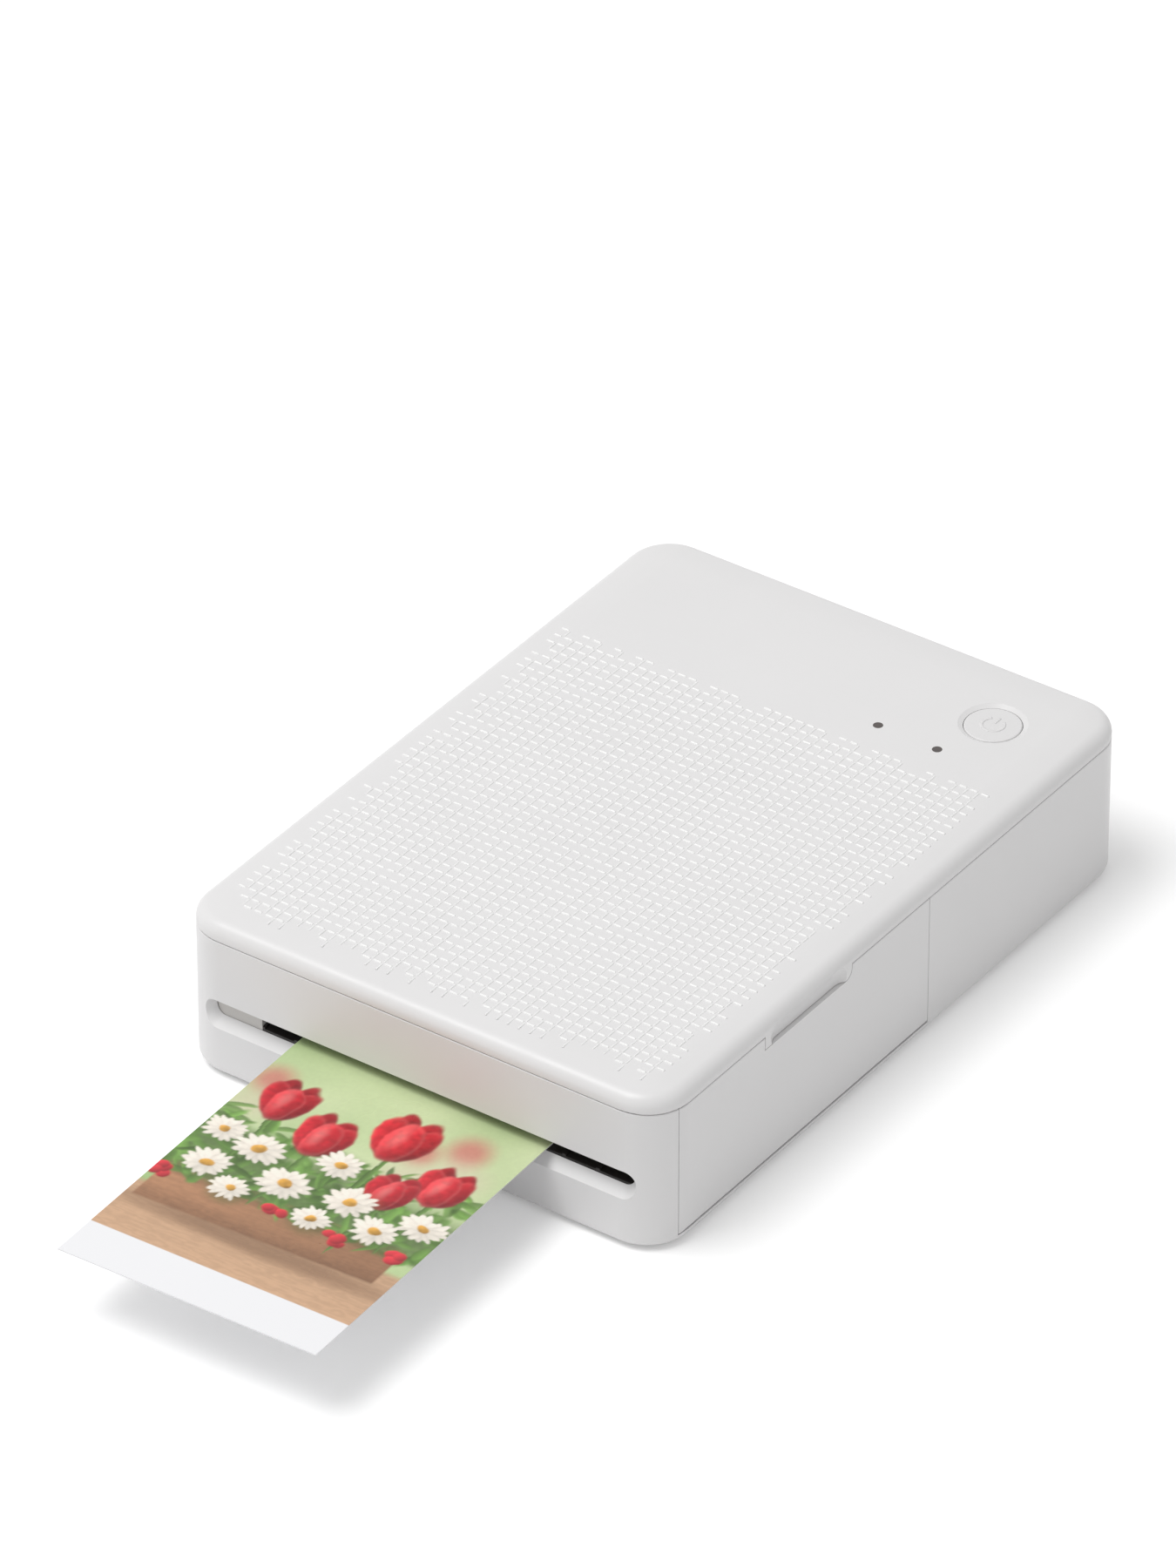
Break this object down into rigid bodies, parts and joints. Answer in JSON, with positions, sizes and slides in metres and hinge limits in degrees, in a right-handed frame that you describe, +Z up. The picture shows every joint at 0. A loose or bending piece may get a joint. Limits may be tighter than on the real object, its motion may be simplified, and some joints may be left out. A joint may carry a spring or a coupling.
{
  "type": "compact photo printer",
  "caption": "Flat pocket-size photo printer with a front slot and a card print coming out, a side cassette door and a paper cover in its floor.",
  "frame": {"origin": "centre of the case's outline on the plane it stands on", "axes": "+X to the right as seen from the slot, +Y away from the slot to the back, +Z up"},
  "size_m": [0.1022, 0.2159, 0.0329],
  "materials": {
    "shell_white": "fine satin",
    "button_white": "satin",
    "foot_rubber": "matte",
    "steel": "brushed",
    "spring_steel": "drawn wire",
    "guide_grey": "fine matte",
    "dark_plastic": "fine matte",
    "gear_plastic": "satin",
    "tyre_rubber": "matte",
    "bush_brass": "turned",
    "motor_steel": "drawn can",
    "head_ceramic": "glazed",
    "sink_aluminium": "extruded",
    "cassette_plastic": "fine matte",
    "ribbon": "gloss film",
    "core_white": "satin",
    "paper": "gloss coated",
    "board_green": "solder mask",
    "chip_black": "moulded",
    "battery_wrap": "shrink film",
    "cable_amber": "film",
    "lamp_dark": "polished"
  },
  "bodies": {
    "printer": {"main_case": "shell_white", "top_cover": "shell_white", "foot_ring": "foot_rubber", "case_screws": "steel", "inner_screws": "steel", "hinge_pins": "steel", "left_chassis": "steel", "right_chassis": "steel", "chassis_bridge": "steel", "gear_studs": "steel", "head_pivot_shaft": "steel", "board_shield": "steel", "usb_socket": "steel", "head_springs": "spring_steel", "exit_guide": "guide_grey", "lower_guide": "dark_plastic", "rear_frame": "dark_plastic", "drive_belt": "tyre_rubber", "shaft_bushes": "bush_brass", "feed_motor": "motor_steel", "ribbon_motor": "motor_steel", "main_board": "board_green", "board_chips": "chip_black", "power_switch": "chip_black", "battery_pack": "battery_wrap", "head_cable": "cable_amber", "light_guides": "lamp_dark"},
    "door": {"cassette_door": "shell_white"},
    "paper_cover": {"paper_cover": "shell_white", "lift_springs": "spring_steel"},
    "lift_plate": {"lift_plate": "dark_plastic", "paper_stack": "paper"},
    "print": {"photo_print": "paper"},
    "feed_roller": {"feed_roller": "steel", "feed_gear": "gear_plastic", "feed_pulley": "gear_plastic"},
    "pinch_roller": {"pinch_roller": "steel"},
    "platen": {"platen_shaft": "steel", "platen_sleeve": "tyre_rubber"},
    "exit_roller": {"exit_shaft": "steel", "exit_tyres": "tyre_rubber", "exit_pulley": "gear_plastic"},
    "exit_pinch": {"exit_pinch_roller": "dark_plastic"},
    "pickup": {"pickup_shaft": "steel", "pickup_tyres": "tyre_rubber"},
    "idler": {"idler_gear": "gear_plastic"},
    "compound": {"compound_gear": "gear_plastic"},
    "motor_pinion": {"motor_pinion": "gear_plastic"},
    "hub": {"drive_hub": "gear_plastic"},
    "ribbon_pinion": {"ribbon_pinion": "gear_plastic"},
    "cassette": {"cassette_shell": "cassette_plastic", "ribbon_film": "ribbon"},
    "supply": {"supply_core": "core_white", "supply_roll": "ribbon"},
    "takeup": {"takeup_core": "core_white", "takeup_roll": "ribbon"},
    "head": {"thermal_head": "head_ceramic", "heat_sink": "sink_aluminium", "head_bracket": "steel"},
    "button": {"power_button": "button_white"}
  },
  "joints": [
    {"name": "cassette_door_hinge", "type": "hinge", "parent": "printer", "child": "door", "pos_m": [0.0492, -0.0288, 0.0044], "axis": [0, 1, 0], "range_deg": [0, 88]},
    {"name": "paper_cover_hinge", "type": "hinge", "parent": "printer", "child": "paper_cover", "pos_m": [0.002, 0.064, 0.0022], "axis": [1, 0, 0], "range_deg": [0, 90]},
    {"name": "lift_plate_hinge", "type": "hinge", "parent": "paper_cover", "child": "lift_plate", "pos_m": [0.002, 0.055, 0.00455], "axis": [1, 0, 0], "range_deg": [0, 1], "stiffness_Nm_per_rad": 0.5, "springref_deg": -5.73, "deforming": ["lift_springs"]},
    {"name": "power_button_press", "type": "slide", "parent": "printer", "child": "button", "axis": [0, 0, -1], "range_m": [0, 0.0007], "stiffness_N_per_m": 700, "springref_m": -0.0003},
    {"name": "feed_roller_spin", "type": "hinge", "parent": "printer", "child": "feed_roller", "pos_m": [0, -0.0185, 0.01125], "axis": [1, 0, 0], "range_deg": [-1581.4, 641.8]},
    {"name": "print_feed", "type": "slide", "parent": "printer", "child": "print", "axis": [0, -1, 0], "range_m": [-0.069, 0.028]},
    {"name": "platen_spin", "type": "hinge", "parent": "printer", "child": "platen", "pos_m": [0, -0.0303, 0.01075], "axis": [1, 0, 0], "range_deg": [-1317.9, 534.9]},
    {"name": "exit_roller_spin", "type": "hinge", "parent": "printer", "child": "exit_roller", "pos_m": [0, -0.0645, 0.01115], "axis": [1, 0, 0], "range_deg": [-1520.6, 617.2]},
    {"name": "pinch_roller_spin", "type": "hinge", "parent": "printer", "child": "pinch_roller", "pos_m": [0, -0.0185, 0.0163], "axis": [1, 0, 0], "range_deg": [-729.4, 1797.1]},
    {"name": "exit_pinch_spin", "type": "hinge", "parent": "printer", "child": "exit_pinch", "pos_m": [0, -0.0645, 0.0161], "axis": [1, 0, 0], "range_deg": [-802.3, 1976.8]},
    {"name": "idler_spin", "type": "hinge", "parent": "printer", "child": "idler", "pos_m": [0, -0.00157, 0.01569], "axis": [1, 0, 0], "range_deg": [-481.4, 1186.1]},
    {"name": "compound_spin", "type": "hinge", "parent": "printer", "child": "compound", "pos_m": [0, 0.01242, 0.01537], "axis": [1, 0, 0], "range_deg": [-2965.2, 1203.4]},
    {"name": "motor_pinion_spin", "type": "hinge", "parent": "printer", "child": "motor_pinion", "pos_m": [0, 0.022, 0.0234], "axis": [1, 0, 0], "range_deg": [-3094.4, 7624.7]},
    {"name": "pickup_spin", "type": "hinge", "parent": "printer", "child": "pickup", "pos_m": [0, 0.044, 0.01075], "axis": [1, 0, 0], "continuous": true},
    {"name": "cassette_eject", "type": "slide", "parent": "printer", "child": "cassette", "axis": [1, 0, 0], "range_m": [0, 0.0032]},
    {"name": "ribbon_hub_spin", "type": "hinge", "parent": "printer", "child": "hub", "pos_m": [0, -0.053, 0.0216], "axis": [1, 0, 0], "continuous": true},
    {"name": "takeup_spin", "type": "hinge", "parent": "cassette", "child": "takeup", "pos_m": [0, -0.053, 0.0216], "axis": [1, 0, 0], "continuous": true},
    {"name": "supply_spin", "type": "hinge", "parent": "cassette", "child": "supply", "pos_m": [0, -0.006, 0.0216], "axis": [1, 0, 0], "continuous": true},
    {"name": "ribbon_pinion_spin", "type": "hinge", "parent": "printer", "child": "ribbon_pinion", "pos_m": [0, -0.06523, 0.0242], "axis": [1, 0, 0], "continuous": true},
    {"name": "head_lift", "type": "hinge", "parent": "printer", "child": "head", "pos_m": [0.002, -0.0442, 0.0274], "axis": [1, 0, 0], "range_deg": [0, 4.5], "stiffness_Nm_per_rad": 0.5, "springref_deg": -8.02, "deforming": ["head_springs"]}
  ],
  "couplings": [
    {"joint": "feed_roller_spin", "follows": "print_feed", "rad_per_m": 400},
    {"joint": "platen_spin", "follows": "print_feed", "rad_per_m": 333.33},
    {"joint": "exit_roller_spin", "follows": "print_feed", "rad_per_m": 384.62},
    {"joint": "pinch_roller_spin", "follows": "print_feed", "rad_per_m": -454.55},
    {"joint": "exit_pinch_spin", "follows": "print_feed", "rad_per_m": -500},
    {"joint": "idler_spin", "follows": "print_feed", "rad_per_m": -300},
    {"joint": "compound_spin", "follows": "print_feed", "rad_per_m": 750},
    {"joint": "motor_pinion_spin", "follows": "print_feed", "rad_per_m": -1928.6},
    {"joint": "takeup_spin", "follows": "ribbon_hub_spin", "ratio": 1},
    {"joint": "supply_spin", "follows": "ribbon_hub_spin", "ratio": -0.76667},
    {"joint": "ribbon_pinion_spin", "follows": "ribbon_hub_spin", "ratio": -1.7778}
  ]
}
